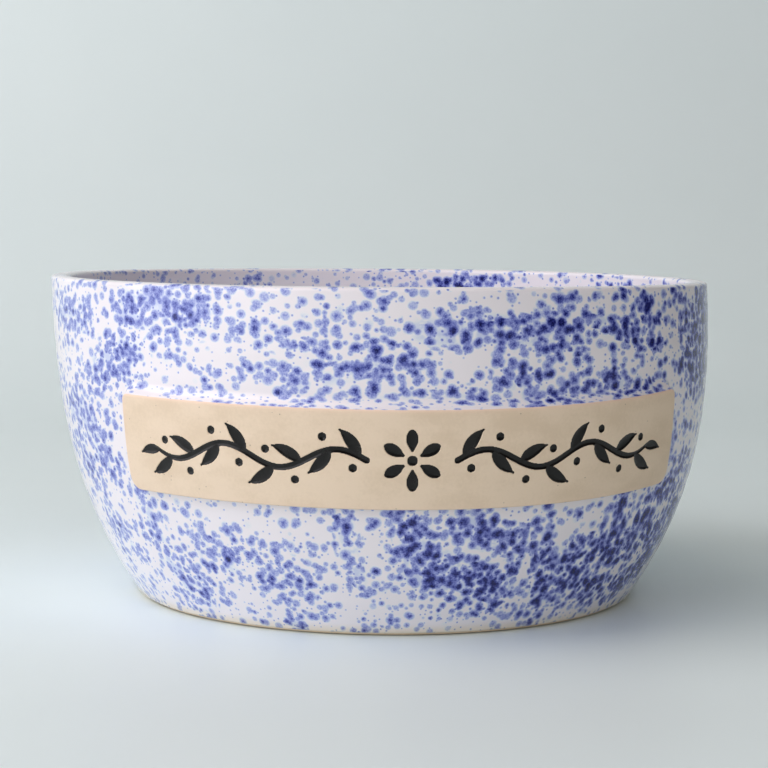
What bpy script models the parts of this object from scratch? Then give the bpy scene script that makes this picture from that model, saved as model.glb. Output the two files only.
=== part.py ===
"""A large hand-thrown stoneware snack bowl with a bare clay panel on its front.

Metres, +Z up. The origin is under the middle of the lip, on the table, and the
panel faces -Y. The bowl is turned from one profile; the panel is a rolled strip
of clay, bent round the wall and smeared onto it along its top edge.
"""

import math

import bmesh
import bpy

# Bowl
HEIGHT = 0.106          # table to the crest of the lip
RIM_RADIUS = 0.110      # outside radius just under the lip
FOOT_RADIUS = 0.083     # outside radius where the wall reaches the table
BELLY_POWER = 2.75      # how quickly the wall swings out above the foot
LIP_THICKNESS = 0.0056  # the wall at the lip
LIP_RISE = 0.0015       # height of the lip's rounding, which is flatter than a half circle
LIP_SQUARENESS = 2.6    # 2 rounds the lip as an ellipse, more leaves it squarer
FOOT_THICKNESS = 0.0066  # the wall just above the foot
FLOOR_THICKNESS = 0.0064
FOOT_ROUND = 0.0022     # height over which the wall rolls under to the foot
INNER_TURN = 0.045      # height where the inside wall begins to turn into the floor
TURN_WALL_PULL = 0.62   # share of that height over which the turn still follows the wall
TURN_FLOOR_PULL = 0.75  # share of the way out to the wall over which it follows the floor
FLOOR_RADIUS = 0.032    # the flat middle of the inside floor
WALL_LEAN = 0.0028      # the foot sits this far to +X of the lip, as thrown

# Panel, measured on its face
PANEL_LOW = 0.0418
PANEL_HIGH = 0.0713
PANEL_BOW = 0.0022          # both ends ride this much higher than the middle
PANEL_SKEW = 0.0010         # and the +X end rides this much higher again, the -X end lower
PANEL_HALF_ANGLE = math.radians(49.0)
PANEL_FLARE = 0.023         # the lower edge reaches this share further round than the upper one
PANEL_THICKNESS = 0.0030
PANEL_TOP_SLOPE = 0.0030    # the smeared top edge climbs this far up the wall
PANEL_SLOPE_KNEE = 0.40     # share of the slope's height, where half of its thickness is left
PANEL_END_SLOPE = 0.30      # share of the slope that is left at the ends
PANEL_UNDERCUT = 0.0006     # the bottom edge's back is this much higher than its face
PANEL_ARRIS = 0.0005        # rounding of the bottom edge
PANEL_END_EASE = 0.0020     # the face eases down to the wall over this length at each end
PANEL_TOP_CORNER = 0.0020   # corner radii, seen from the front
PANEL_LOW_CORNER = 0.0040
PANEL_LEAST = 0.0005        # thickness left where the panel feathers out
PANEL_GAP = 0.0003          # joint between the panel and the wall

# Finishes: colour and roughness
WHITE_GLAZE = ((0.74, 0.76, 0.87), 0.22)
BARE_CLAY = ((0.60, 0.50, 0.38), 0.75)

# How finely the shapes are divided
TURN_STEPS = 72
WALL_STEPS = 13
INNER_STEPS = 7
TURN_IN_STEPS = 10
LIP_STEPS = 12
PANEL_STATIONS = 40
PANEL_EASE_STATIONS = 4
PANEL_FACE_STEPS = 4
SLOPE_STEP = 0.001       # height step that the wall's slope is measured over
MERGE_DISTANCE = 0.00001
LIP_SHARP_ANGLE = 50     # degrees, above which an edge is shown sharp
PANEL_SHARP_ANGLE = 40


def spread(start, end, steps):
    """steps + 1 evenly spaced values, both ends included."""
    return [start + (end - start) * i / steps for i in range(steps + 1)]


def bezier(points, steps):
    """Points along a cubic Bezier curve through four (radius, height) handles."""
    a, b, c, d = points
    curve = []
    for t in spread(0.0, 1.0, steps):
        weights = ((1 - t) ** 3, 3 * t * (1 - t) ** 2, 3 * t * t * (1 - t), t ** 3)
        curve.append(tuple(sum(w * p[k] for w, p in zip(weights, (a, b, c, d)))
                           for k in range(2)))
    return curve


def outer_radius(z):
    """Outside of the wall: a quick swing out above the foot, nearly upright at the lip."""
    return RIM_RADIUS - (RIM_RADIUS - FOOT_RADIUS) * (1.0 - z / HEIGHT) ** BELLY_POWER


def inner_radius(z):
    """Inside of the wall, which thickens towards the foot."""
    return outer_radius(z) - LIP_THICKNESS - (FOOT_THICKNESS - LIP_THICKNESS) * (1.0 - z / HEIGHT)


def squared(share):
    """A sine or cosine drawn towards its extremes, which turns an arc into a squarer one."""
    return math.copysign(abs(share) ** (2.0 / LIP_SQUARENESS), share)


def lean(z):
    """How far the thrown wall lies to +X of the lip: it leans more and more as it climbs."""
    return WALL_LEAN * (1.0 - (z / HEIGHT) ** 2)


def bowl_profile():
    """(radius, height) points from the floor's middle, over the lip, to the foot's middle."""
    turn = (inner_radius(INNER_TURN), INNER_TURN)
    rise = INNER_TURN - FLOOR_THICKNESS
    slope = (turn[0] - inner_radius(INNER_TURN - SLOPE_STEP)) / SLOPE_STEP
    reach = TURN_WALL_PULL * rise
    turn_in = bezier([
        (FLOOR_RADIUS, FLOOR_THICKNESS),
        (FLOOR_RADIUS + TURN_FLOOR_PULL * (turn[0] - FLOOR_RADIUS), FLOOR_THICKNESS),
        (turn[0] - slope * reach, turn[1] - reach),
        turn,
    ], TURN_IN_STEPS)

    shoulder = HEIGHT - LIP_RISE
    inner_wall = [(inner_radius(z), z) for z in spread(INNER_TURN, shoulder, INNER_STEPS)]
    middle = (inner_radius(shoulder) + outer_radius(shoulder)) / 2
    half = (outer_radius(shoulder) - inner_radius(shoulder)) / 2
    lip = [(middle - half * squared(math.cos(a)), shoulder + LIP_RISE * squared(math.sin(a)))
           for a in spread(0.0, math.pi, LIP_STEPS)]

    outer_wall = [(outer_radius(z), z) for z in spread(shoulder, FOOT_ROUND, WALL_STEPS)]
    foot = bezier([
        (outer_radius(FOOT_ROUND), FOOT_ROUND),
        (outer_radius(FOOT_ROUND / 2), FOOT_ROUND / 2),
        (FOOT_RADIUS - FOOT_ROUND / 4, 0.0),
        (FOOT_RADIUS - FOOT_ROUND, 0.0),
    ], 3)
    return ([(0.0, FLOOR_THICKNESS)] + turn_in + inner_wall[1:] + lip[1:]
            + outer_wall[1:] + foot[1:] + [(FOOT_RADIUS / 2, 0.0), (0.0, 0.0)])


def material(name, look):
    """A Principled BSDF with one colour and one roughness."""
    color, roughness = look
    finish = bpy.data.materials.new(name)
    finish.use_nodes = True
    shader = finish.node_tree.nodes["Principled BSDF"]
    shader.inputs["Base Color"].default_value = (*color, 1.0)
    shader.inputs["Roughness"].default_value = roughness
    shader.inputs["Metallic"].default_value = 0.0
    finish.diffuse_color = (*color, 1.0)
    return finish


def finish_object(name, mesh_data, finish, sharp_angle):
    """Turn a bmesh into a named, smooth-shaded object with its faces pointing out."""
    bmesh.ops.recalc_face_normals(mesh_data, faces=mesh_data.faces)
    mesh = bpy.data.meshes.new(name)
    mesh_data.to_mesh(mesh)
    mesh_data.free()
    mesh.materials.append(finish)
    mesh.shade_smooth()
    mesh.set_sharp_from_angle(angle=math.radians(sharp_angle))
    piece = bpy.data.objects.new(name, mesh)
    bpy.context.scene.collection.objects.link(piece)
    return piece


def make_bowl():
    """Spin the profile round Z, then let the wall lean as it did on the wheel."""
    clay = bmesh.new()
    points = [clay.verts.new((r, 0.0, z)) for r, z in bowl_profile()]
    edges = [clay.edges.new(pair) for pair in zip(points, points[1:])]
    bmesh.ops.spin(clay, geom=points + edges, cent=(0, 0, 0), axis=(0, 0, 1),
                   angle=2 * math.pi, steps=TURN_STEPS, use_merge=True)
    bmesh.ops.remove_doubles(clay, verts=clay.verts, dist=MERGE_DISTANCE)
    for vert in clay.verts:
        vert.co.x += lean(vert.co.z)
    return finish_object("bowl", clay, material("white_glaze", WHITE_GLAZE), LIP_SHARP_ANGLE)


def corner_cut(from_end, radius):
    """How far a rounded corner pulls the edge in, at this distance from the panel's end."""
    if from_end >= radius:
        return 0.0
    return radius - math.sqrt(radius ** 2 - (radius - from_end) ** 2)


def panel_lift(angle):
    """How much higher than in the middle the strip was laid at this angle round the wall."""
    t = angle / PANEL_HALF_ANGLE
    return PANEL_BOW * t ** 2 + PANEL_SKEW * t ** 3


def flared(angle, z):
    """Where a point of the strip lies round the wall: its lower edge reaches further round."""
    below_top = (PANEL_HIGH + panel_lift(angle) - z) / (PANEL_HIGH - PANEL_LOW)
    return angle * (1.0 + PANEL_FLARE * below_top)


def panel_section(angle):
    """The panel's closed (radius, height) outline at this angle round the wall."""
    from_end = (PANEL_HALF_ANGLE - abs(angle)) * RIM_RADIUS
    low = PANEL_LOW + panel_lift(angle) + corner_cut(from_end, PANEL_LOW_CORNER)
    high = PANEL_HIGH + panel_lift(angle) - corner_cut(from_end, PANEL_TOP_CORNER)
    ease = min(from_end / PANEL_END_EASE, 1.0)
    round_over = math.sqrt(1.0 - (1.0 - ease) ** 2)
    thickness = PANEL_LEAST + (PANEL_THICKNESS - PANEL_LEAST) * round_over
    slope = PANEL_TOP_SLOPE * (PANEL_END_SLOPE + (1.0 - PANEL_END_SLOPE) * round_over)

    def at(z, out):
        return (outer_radius(z) + PANEL_GAP + out, z)

    face = [at(z, thickness) for z in spread(low + PANEL_ARRIS, high, PANEL_FACE_STEPS)]
    smear = [at(high + slope * PANEL_SLOPE_KNEE, (PANEL_LEAST + thickness) / 2),
             at(high + slope, PANEL_LEAST)]
    back = [at(z, 0.0) for z in spread(high + slope, low + PANEL_UNDERCUT, PANEL_FACE_STEPS)]
    under = [at(low, thickness - min(PANEL_ARRIS, thickness / 2))]
    return face + smear + back + under


def panel_angles():
    """Station angles from end to end, closer together where the ends round over."""
    ease_angle = PANEL_LOW_CORNER / RIM_RADIUS
    start = [-PANEL_HALF_ANGLE + ease_angle * (1.0 - math.cos(a))
             for a in spread(0.0, math.pi / 2, PANEL_EASE_STATIONS)]
    middle = spread(start[-1], -start[-1], PANEL_STATIONS)
    end = [-angle for angle in reversed(start)]
    return start + middle[1:-1] + end


def make_panel():
    """Loft the panel's outline along the wall, and close both ends."""
    clay = bmesh.new()
    rings = []
    for angle in panel_angles():
        ring = []
        for r, z in panel_section(angle):
            a = flared(angle, z)
            ring.append(clay.verts.new((r * math.sin(a) + lean(z), -r * math.cos(a), z)))
        rings.append(ring)
    for ring, following in zip(rings, rings[1:]):
        for i, vert in enumerate(ring):
            j = (i + 1) % len(ring)
            clay.faces.new((vert, ring[j], following[j], following[i]))
    clay.faces.new(rings[0])
    clay.faces.new(rings[-1])
    return finish_object("panel", clay, material("bare_clay", BARE_CLAY), PANEL_SHARP_ANGLE)


for old in list(bpy.data.objects):
    bpy.data.objects.remove(old, do_unlink=True)
make_bowl()
make_panel()
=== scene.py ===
# %% [markdown]
# # A spattered stoneware bowl
#
# This lesson makes a big hand-thrown bowl for crisps. The real one was thrown on a wheel from pale
# stoneware clay, a strip of the same clay was rolled out and laid across its front, the strip was
# waxed, and the rest was dipped in white glaze and spattered with cobalt blue. We build it in the
# same order: clay, strip, pressed ornament, glaze, spatter. The solids that carry it come from the
# frame, and every surface here follows their sizes.

import math

import bpy
import numpy as np
from mathutils import Matrix, Vector


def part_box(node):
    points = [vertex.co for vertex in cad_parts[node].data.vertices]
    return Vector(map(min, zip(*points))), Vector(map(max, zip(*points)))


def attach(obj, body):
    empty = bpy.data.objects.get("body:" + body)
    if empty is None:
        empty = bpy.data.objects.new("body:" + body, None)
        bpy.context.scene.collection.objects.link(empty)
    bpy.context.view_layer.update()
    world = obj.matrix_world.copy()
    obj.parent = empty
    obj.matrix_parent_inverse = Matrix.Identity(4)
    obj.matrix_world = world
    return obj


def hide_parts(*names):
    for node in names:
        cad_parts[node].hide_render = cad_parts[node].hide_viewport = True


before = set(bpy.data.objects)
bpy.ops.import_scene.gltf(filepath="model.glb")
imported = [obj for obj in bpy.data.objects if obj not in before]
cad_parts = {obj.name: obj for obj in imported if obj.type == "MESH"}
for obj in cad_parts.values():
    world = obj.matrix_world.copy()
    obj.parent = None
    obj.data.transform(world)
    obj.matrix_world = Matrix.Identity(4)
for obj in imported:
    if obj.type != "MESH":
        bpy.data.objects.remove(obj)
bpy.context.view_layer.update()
MM = 0.001
print("solids in the frame:", ", ".join(sorted(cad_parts)))

# %% [markdown]
# ## Where we stand
#
# The bowl is seen as a guest sees it who sits down at the table: almost level, a little from above,
# and close enough that the round front comes towards us. A long lens at two thirds of a metre gives
# that view. The camera is placed first, so that every later step can be judged through it.

# %% Place the camera
CAMERA_DISTANCE = 657 * MM           # from the bowl's axis
CAMERA_HEIGHT = 124.8 * MM
CAMERA_SIDE = math.radians(-4.23)   # a step to the left of the bowl's front
CAMERA_TURN = math.radians(-0.18)
CAMERA_DIP = math.radians(4.83)
CAMERA_ROLL = math.radians(0.58)
LENS_LENGTH = 90.6
FRAME_WIDTH = 36                     # in the same measure as the lens

lens = bpy.data.cameras.new("guest_view")
lens.sensor_width = FRAME_WIDTH
lens.lens = LENS_LENGTH
camera = bpy.data.objects.new("guest_view", lens)
bpy.context.scene.collection.objects.link(camera)
stand = Vector((math.sin(CAMERA_SIDE), -math.cos(CAMERA_SIDE), 0)) * CAMERA_DISTANCE
stand.z = CAMERA_HEIGHT
camera.matrix_world = (
    Matrix.Translation(stand)
    @ Matrix.Rotation(CAMERA_SIDE + CAMERA_TURN, 4, "Z")
    @ Matrix.Rotation(math.pi / 2 - CAMERA_DIP, 4, "X")
    @ Matrix.Rotation(CAMERA_ROLL, 4, "Z")
)
bpy.context.scene.camera = camera
print("camera at", tuple(round(c, 3) for c in stand))

# %% [markdown]
# ## The shape of the wall
#
# A thrown pot is nearly a turned shape, so one rule for its radius at each height says almost
# everything. The wall swings out quickly above the foot and is nearly upright at the lip: a power
# of the height left to climb gives just that curve. The height and the width are read from the
# frame. The other sizes repeat the ones that the solid was made with.

# %% Sizes of the thrown wall
bowl_low, bowl_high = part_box("bowl")
HEIGHT = bowl_high.z - bowl_low.z
RIM_RADIUS = (bowl_high.y - bowl_low.y) / 2
FOOT_RADIUS = 83 * MM
BELLY_POWER = 2.75
LIP_THICKNESS = 5.6 * MM
FOOT_THICKNESS = 6.6 * MM
FLOOR_THICKNESS = 6.4 * MM
FOOT_ROUND = 2.2 * MM     # height over which the wall rolls under
FLOOR_RADIUS = 32 * MM    # the flat middle of the inside
INNER_TURN = 45 * MM      # height where the inside starts to turn into the floor
TURN_WALL_PULL = 0.62     # how long the curve into the floor holds on to the wall
TURN_FLOOR_PULL = 0.75    # and to the floor


def smooth(t):
    """Ease from 0 to 1, level at both ends."""
    t = np.clip(t, 0.0, 1.0)
    return t * t * (3.0 - 2.0 * t)


def outer_radius(z):
    """Radius of the outside of the wall at height z."""
    left = 1.0 - np.clip(z / HEIGHT, 0.0, 1.0)
    return RIM_RADIUS - (RIM_RADIUS - FOOT_RADIUS) * left ** BELLY_POWER


def inner_radius(z):
    """Radius of the inside of the wall, which thickens towards the foot."""
    left = 1.0 - z / HEIGHT
    return outer_radius(z) - LIP_THICKNESS - (FOOT_THICKNESS - LIP_THICKNESS) * left


print(f"wall {HEIGHT / MM:.0f} mm high, {2 * RIM_RADIUS / MM:.0f} mm across the rim")

# %% [markdown]
# ## Nothing thrown is quite round
#
# Hands leave three marks: the wall leans a little to one side, it is a shade oval, and its
# edge rises and falls by a fraction of a millimetre. Every point of the bowl goes through one
# function that adds these marks, so clay, glaze and strip stay together. A point is given as an
# angle round the wall, measured from the middle of the front, a radius and a height.

# %% From the turned shape to the thrown one
WALL_LEAN = 2.8 * MM     # the foot sits this far to the right of the lip
RIM_OVAL = 0.25 * MM
RIM_WAVE = 0.15 * MM


def thrown(angle, radius, z):
    """World points for turned points, with the lean, the oval and the wave of the lip."""
    up = np.clip(z / HEIGHT, 0.0, 1.0)
    lean = WALL_LEAN * (1 - up ** 2)
    r = radius * (1 + RIM_OVAL / RIM_RADIUS * up * np.sin(2 * angle + 0.7))
    lift = RIM_WAVE * up ** 3 * np.sin(3 * angle + 0.4)
    return np.stack([r * np.sin(angle) + lean, -r * np.cos(angle), z + lift], axis=-1)


print("the foot's middle stands at", thrown(np.zeros(1), np.zeros(1), 0.0)[0].round(4))

# %% [markdown]
# ## One profile for clay and glaze
#
# The profile starts in the middle of the inside floor, climbs the inner wall, goes over the lip,
# down the outside and under the foot. Its rows are close together only where something fine
# happens: at the lip, at the foot, and at the long edges of the strip, whose place is settled here
# for that. Two helpers draw it. One walks along stretches that each have a step of their own, the
# other draws a smooth curve through four handles, as Blender's own curves do.

# %% The strip's place, and two helpers for profiles
PANEL_LOW = 41.8 * MM
PANEL_HEIGHT = 29.5 * MM
PANEL_HALF = math.radians(49) * RIM_RADIUS   # half its length along the wall
PANEL_TOP = PANEL_LOW + PANEL_HEIGHT


def graded(*stretches):
    """Values along stretches of (start, end, step), each end shared with the next start."""
    values = [np.array([stretches[0][0]])]
    for start, end, step in stretches:
        count = max(1, round(abs(end - start) / step))
        values.append(np.linspace(start, end, count + 1)[1:])
    return np.concatenate(values)


def bezier(points, steps):
    """A cubic Bezier curve through four (radius, height) handles."""
    a, b, c, d = (np.array(p) for p in points)
    t = np.linspace(0.0, 1.0, steps + 1)[:, None]
    return a * (1 - t) ** 3 + 3 * b * t * (1 - t) ** 2 + 3 * c * t * t * (1 - t) + d * t ** 3


print(f"the strip lies {PANEL_LOW / MM:.1f} to {PANEL_TOP / MM:.1f} mm above the table")

# %% [markdown]
# ## The inside and the lip
#
# Inside, the wall turns into the floor in one curve, as the potter's fingers left it. The lip was
# pressed with a strip of wet leather while the bowl turned, so it isn't a half circle: its arc is
# low and a little squared. Raising a sine and a cosine to a power below 1 gives that shape.

# %% Draw the inside and the lip
LIP_RISE = 1.5 * MM      # height of the lip's rounding
LIP_SQUARENESS = 2.6     # 2 rounds it as an ellipse, more leaves it squarer
SHOULDER = HEIGHT - LIP_RISE


def inside_profile():
    """(radius, height) rows from near the floor's middle to the start of the lip."""
    turn = inner_radius(INNER_TURN)
    slope = (turn - inner_radius(INNER_TURN - MM)) / MM
    reach = TURN_WALL_PULL * (INNER_TURN - FLOOR_THICKNESS)
    r = graded((1.5 * MM, FLOOR_RADIUS, 1.6 * MM))
    turn_in = bezier([
        (FLOOR_RADIUS, FLOOR_THICKNESS),
        (FLOOR_RADIUS + TURN_FLOOR_PULL * (turn - FLOOR_RADIUS), FLOOR_THICKNESS),
        (turn - slope * reach, INNER_TURN - reach),
        (turn, INNER_TURN),
    ], 44)
    z = graded((INNER_TURN, SHOULDER, 1.7 * MM))
    floor = np.stack([r, np.full_like(r, FLOOR_THICKNESS)], -1)
    wall = np.stack([inner_radius(z), z], -1)
    return np.concatenate([floor, turn_in[1:], wall[1:]])


def squared(share):
    """A sine or cosine drawn towards its extremes, which turns an arc into a squarer one."""
    return np.sign(share) * np.abs(share) ** (2 / LIP_SQUARENESS)


def lip_profile():
    """The flattened arc over the lip, from the inside to the outside."""
    inner, outer = inner_radius(SHOULDER), outer_radius(SHOULDER)
    a = np.linspace(0.0, math.pi, 29)[1:]
    r = (inner + outer) / 2 - (outer - inner) / 2 * squared(np.cos(a))
    return np.stack([r, SHOULDER + LIP_RISE * squared(np.sin(a))], -1)


inside, lip = inside_profile(), lip_profile()
print(f"{len(inside)} rows inside and {len(lip)} over the lip")

# %% [markdown]
# ## The outside and the foot
#
# Down the outside, the rows crowd where the strip's two long edges will lie. At the bottom the wall
# rolls under, as a wet sponge left it, and ends in the flat foot.

# %% Draw the outside and the foot
def outside_profile():
    """The outer wall, with close rows at the strip's two long edges."""
    z = graded(
        (SHOULDER, PANEL_TOP + 5 * MM, 1.5 * MM),
        (PANEL_TOP + 5 * MM, PANEL_TOP - MM, 0.2 * MM),
        (PANEL_TOP - MM, PANEL_LOW + 5 * MM, 2.1 * MM),
        (PANEL_LOW + 5 * MM, PANEL_LOW - 1.4 * MM, 0.2 * MM),
        (PANEL_LOW - 1.4 * MM, FOOT_ROUND, 1.35 * MM),
    )[1:]
    return np.stack([outer_radius(z), z], -1)


def foot_profile():
    """The wall rolling under into the flat foot."""
    return bezier([
        (outer_radius(FOOT_ROUND), FOOT_ROUND),
        (outer_radius(FOOT_ROUND / 2), FOOT_ROUND / 2),
        (FOOT_RADIUS - FOOT_ROUND / 4, 0.0),
        (FOOT_RADIUS - FOOT_ROUND, 0.0),
    ], 16)[1:]


outside, foot = outside_profile(), foot_profile()
profile = np.concatenate([inside, lip, outside, foot])
on_inside = np.arange(len(profile)) < len(inside)
on_wall = np.zeros(len(profile))
on_wall[len(inside) + len(lip):len(profile) - len(foot)] = 1.0
print(f"the whole profile has {len(profile)} rows, {len(outside)} of them down the outside")

# %% [markdown]
# ## Clay under a skin of glass
#
# Glaze is a skin of glass about half a millimetre thick, so the fired clay lies that far inside the
# pot's surface. Near the foot the potter wiped the glaze off, and there the clay comes out to the
# full shape. Pushing the profile inwards along its own normals gives the clay's profile.

# %% The clay's profile
GLAZE = 0.45 * MM       # thickness of the coat
WIPED = 0.6 * MM        # below this height the clay has its full shape
SINKS_OVER = 1.4 * MM   # above it, the clay draws back under the glaze over this height


def outward(rows):
    """Unit normals of a profile, pointing out of the clay."""
    along = np.gradient(rows, axis=0)
    along /= np.linalg.norm(along, axis=1)[:, None]
    return np.stack([-along[:, 1], along[:, 0]], -1)


normals = outward(profile)
covered = smooth((profile[:, 1] - WIPED) / SINKS_OVER)
clay_skin = profile - normals * (GLAZE * covered)[:, None]
print(f"the clay lies up to {GLAZE / MM:.2f} mm under the glaze")

# %% [markdown]
# ## The strip of clay
#
# The strip on the front was rolled flat, cut with rounded corners and pressed on while soft. Its
# ends rode up a little, the right one more. A place on it is given by a length s along the wall,
# from the middle of the front, and a height v above its lower edge. A rounded rectangle has a
# simple distance rule, negative inside, which the strip and the glaze around it share.

# %% The strip's outline
PANEL_THICKNESS = 3.0 * MM
PANEL_BOW = 2.2 * MM
PANEL_SKEW = 1.0 * MM
PANEL_FLARE = 0.023      # the lower edge reaches this share further round than the upper one
TOP_CORNER = 2.0 * MM
LOW_CORNER = 4.0 * MM


def panel_lift(s):
    """How much higher than in the middle the strip was laid."""
    t = np.clip(s / PANEL_HALF, -1.0, 1.0)
    return PANEL_BOW * t ** 2 + PANEL_SKEW * t ** 3


def flare(v):
    """How much more of the wall's round a length takes up at height v."""
    return 1 + PANEL_FLARE * (1 - np.clip(v / PANEL_HEIGHT, 0.0, 1.0))


def edge_distance(s, v):
    """Distance to the strip's outline, negative inside, and how much of it is up or down."""
    above, below = v - PANEL_HEIGHT, -v
    corner = np.where(above > below, TOP_CORNER, LOW_CORNER)
    across = np.maximum(above, below) + corner
    along = np.abs(s) - PANEL_HALF + corner
    out = np.hypot(np.maximum(along, 0.0), np.maximum(across, 0.0))
    distance = np.minimum(np.maximum(along, across), 0.0) + out - corner
    upright = np.where(out > 0, (np.maximum(across, 0.0) / np.maximum(out, 1e-9)) ** 2, 0.0)
    return distance, upright


print(f"strip {2 * PANEL_HALF / MM:.0f} mm long and {PANEL_HEIGHT / MM:.1f} mm high")

# %% [markdown]
# ## Glaze that climbs the strip
#
# The wax covered only the strip's face, so glaze fills the corner over its long upper edge and at
# both ends, and stops at the face. Below, the strip overhangs and the glaze makes a small bead. One
# function says how far the glaze stands off the wall near the strip: a hollow slope, steepest at
# the strip, that fades out on the wall.

# %% How far the glaze stands off the wall
TOP_FILLET = (3.6 * MM, 2.50 * MM)   # width on the wall, height at the strip
END_FILLET = (2.0 * MM, 2.10 * MM)
LOW_FILLET = (0.7 * MM, 0.30 * MM)
FILLET_TUCK = 0.5 * MM               # how far the full height runs in under the strip's face


def glaze_rise(s, v):
    """Height of the glaze off the wall at (s, v)."""
    distance, upright = edge_distance(s, v)
    on_top = smooth((v / PANEL_HEIGHT - 0.3) / 0.4)
    long_edge = [low + (top - low) * on_top for low, top in zip(LOW_FILLET, TOP_FILLET)]
    wide, high = [end + (edge - end) * upright for end, edge in zip(END_FILLET, long_edge)]
    slope = np.clip(1.0 - distance / wide, 0.0, 1.0) ** 2
    tucked = smooth(1.0 + (distance + FILLET_TUCK) / MM)
    return high * np.where(distance >= 0, slope, tucked)


print(f"over the strip the glaze makes a ledge {TOP_FILLET[1] / MM:.1f} mm deep")

# %% [markdown]
# ## The coat of glaze
#
# The coat is one closed shell: an outer face that we see, a rounded edge just above the foot, and
# an inner face buried in the clay. Real thickness gives the soft roll at the foot line that a mere
# coat of paint never has. Near the strip the rows rise and fall with it, so that its edges lie along
# rows. Fingers left faint rings in the wall, a little stronger inside than outside.

# %% Columns and rows of the coat
GLAZE_LINE = 1.0 * MM       # height of the wiped edge at the foot
GLAZE_ROLL = 1.1 * MM       # length over which the glaze rounds off to that edge
THROWING_RING = 8.5 * MM    # height of one finger mark
RING_TOP_FADE = 7 * MM      # the rings fade out over this height under the lip
RING_LOW = 4 * MM           # and start at this one,
RING_LOW_FADE = 12 * MM     # growing over this one
LIFT_FADE = 30 * MM         # the rows level out over this length beyond the strip's ends
LIFT_LOW = 28 * MM          # from this height up they begin to follow the strip,
LIFT_LOW_EASE = 10 * MM     # over this height,
LIFT_HIGH = 94 * MM         # and at this one they are level again,
LIFT_HIGH_EASE = 16 * MM    # having let go over this one
BACK_STEP = math.radians(2.4)
FRONT_STEP = math.radians(1.0)
END_STEP = 0.25 * MM / RIM_RADIUS    # between columns where the strip ends
END_REACH = 6.5 * MM / RIM_RADIUS

end = PANEL_HALF / RIM_RADIUS
COLUMNS = graded(
    (-math.pi, -end - END_REACH, BACK_STEP),
    (-end - END_REACH, -end + END_REACH, END_STEP),
    (-end + END_REACH, end - END_REACH, FRONT_STEP),
    (end - END_REACH, end + END_REACH, END_STEP),
    (end + END_REACH, math.pi, BACK_STEP),
)[:-1]


def follow_strip(z):
    """Heights of the rows at every column, near the strip lifted as the strip is."""
    s = COLUMNS * RIM_RADIUS
    along = 1.0 - smooth((np.abs(s) - PANEL_HALF) / LIFT_FADE)
    near = smooth((z - LIFT_LOW) / LIFT_LOW_EASE) * smooth((LIFT_HIGH - z) / LIFT_HIGH_EASE)
    return z[:, None] + panel_lift(s) * along * near[:, None]


def finger_rings(z, height):
    """The faint rings that fingers left, fading out at the floor and at the lip."""
    fade = smooth((SHOULDER - z) / RING_TOP_FADE) * smooth((z - RING_LOW) / RING_LOW_FADE)
    return height * fade * np.sin(2 * math.pi * z / THROWING_RING + 0.8 * np.sin(COLUMNS + 1.0))


last_row = len(profile) - int(np.argmax(profile[::-1, 1] >= GLAZE_LINE)) - 1
arc = np.concatenate([[0.0], np.cumsum(np.linalg.norm(np.diff(profile, axis=0), axis=1))])
rolled_off = np.clip((arc[last_row] - arc) / GLAZE_ROLL, 0.0, 1.0)
coat_profile = clay_skin + normals * (GLAZE * np.sqrt(1 - (1 - rolled_off) ** 2))[:, None]
coat_profile = coat_profile[:last_row + 1]
print(f"{len(COLUMNS)} columns; the glaze ends {coat_profile[-1, 1] / MM:.2f} mm above the table")

# %% [markdown]
# ## Helpers that weave meshes
#
# Everything round is a grid of points: rows along the profile, columns round the wall. A turned
# piece has its first and last rows gathered into one point each, which makes it a closed body. The
# strip is a grid too, and one helper numbers the four corners of every cell in such a grid.
# Blender's own Spin tool would do for a plain pot, but here the rows bend to follow the strip, so
# the grids are numpy arrays and the faces are written straight into the mesh.

# %% Mesh helpers
def write_mesh(name, points, faces):
    """A smooth-shaded object from points and face arrays, turned to face outwards."""
    faces = [f for f in faces if len(f)]
    volume = 0.0
    for f in faces:
        for k in range(1, f.shape[1] - 1):
            a, b, c = points[f[:, 0]], points[f[:, k]], points[f[:, k + 1]]
            volume += (a * np.cross(b, c)).sum() / 6
    if volume < 0:
        faces = [f[:, ::-1] for f in faces]
    sides = np.concatenate([np.full(len(f), f.shape[1]) for f in faces])
    mesh = bpy.data.meshes.new(name)
    mesh.vertices.add(len(points))
    mesh.vertices.foreach_set("co", points.astype(np.float32).ravel())
    mesh.loops.add(int(sides.sum()))
    mesh.loops.foreach_set("vertex_index", np.concatenate([f.ravel() for f in faces]).astype(np.int32))
    mesh.polygons.add(len(sides))
    mesh.polygons.foreach_set("loop_start", (np.cumsum(sides) - sides).astype(np.int32))
    mesh.update(calc_edges=True)
    mesh.shade_smooth()
    piece = bpy.data.objects.new(name, mesh)
    bpy.context.scene.collection.objects.link(piece)
    print(f"{name}: {len(points)} points, {int((sides - 2).sum())} triangles, {abs(volume) * 1e6:.1f} ml")
    return piece


def grid_cells(high, wide):
    """The four corner numbers of every cell in a grid of points, row after row."""
    index = np.arange(high * wide).reshape(high, wide)
    return np.stack([index[:-1, :-1], index[:-1, 1:], index[1:, 1:], index[1:, :-1]], -1)


def turned(name, rows):
    """A closed turned body from (rows, columns, 3) points, each end row gathered into its middle."""
    count, around = rows.shape[:2]
    points = np.concatenate([rows.reshape(-1, 3), [rows[0].mean(0)], [rows[-1].mean(0)]])
    i = np.arange(count - 1)[:, None] * around
    j = np.arange(around)
    k = (j + 1) % around
    quads = np.stack([i + j, i + k, i + around + k, i + around + j], -1).reshape(-1, 4)
    first, last = count * around, count * around + 1
    start = np.stack([np.full(around, first), k, j], -1)
    end = np.stack([np.full(around, last), last - 1 - around + j, last - 1 - around + k], -1)
    return write_mesh(name, points, [quads, start, end])


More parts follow.
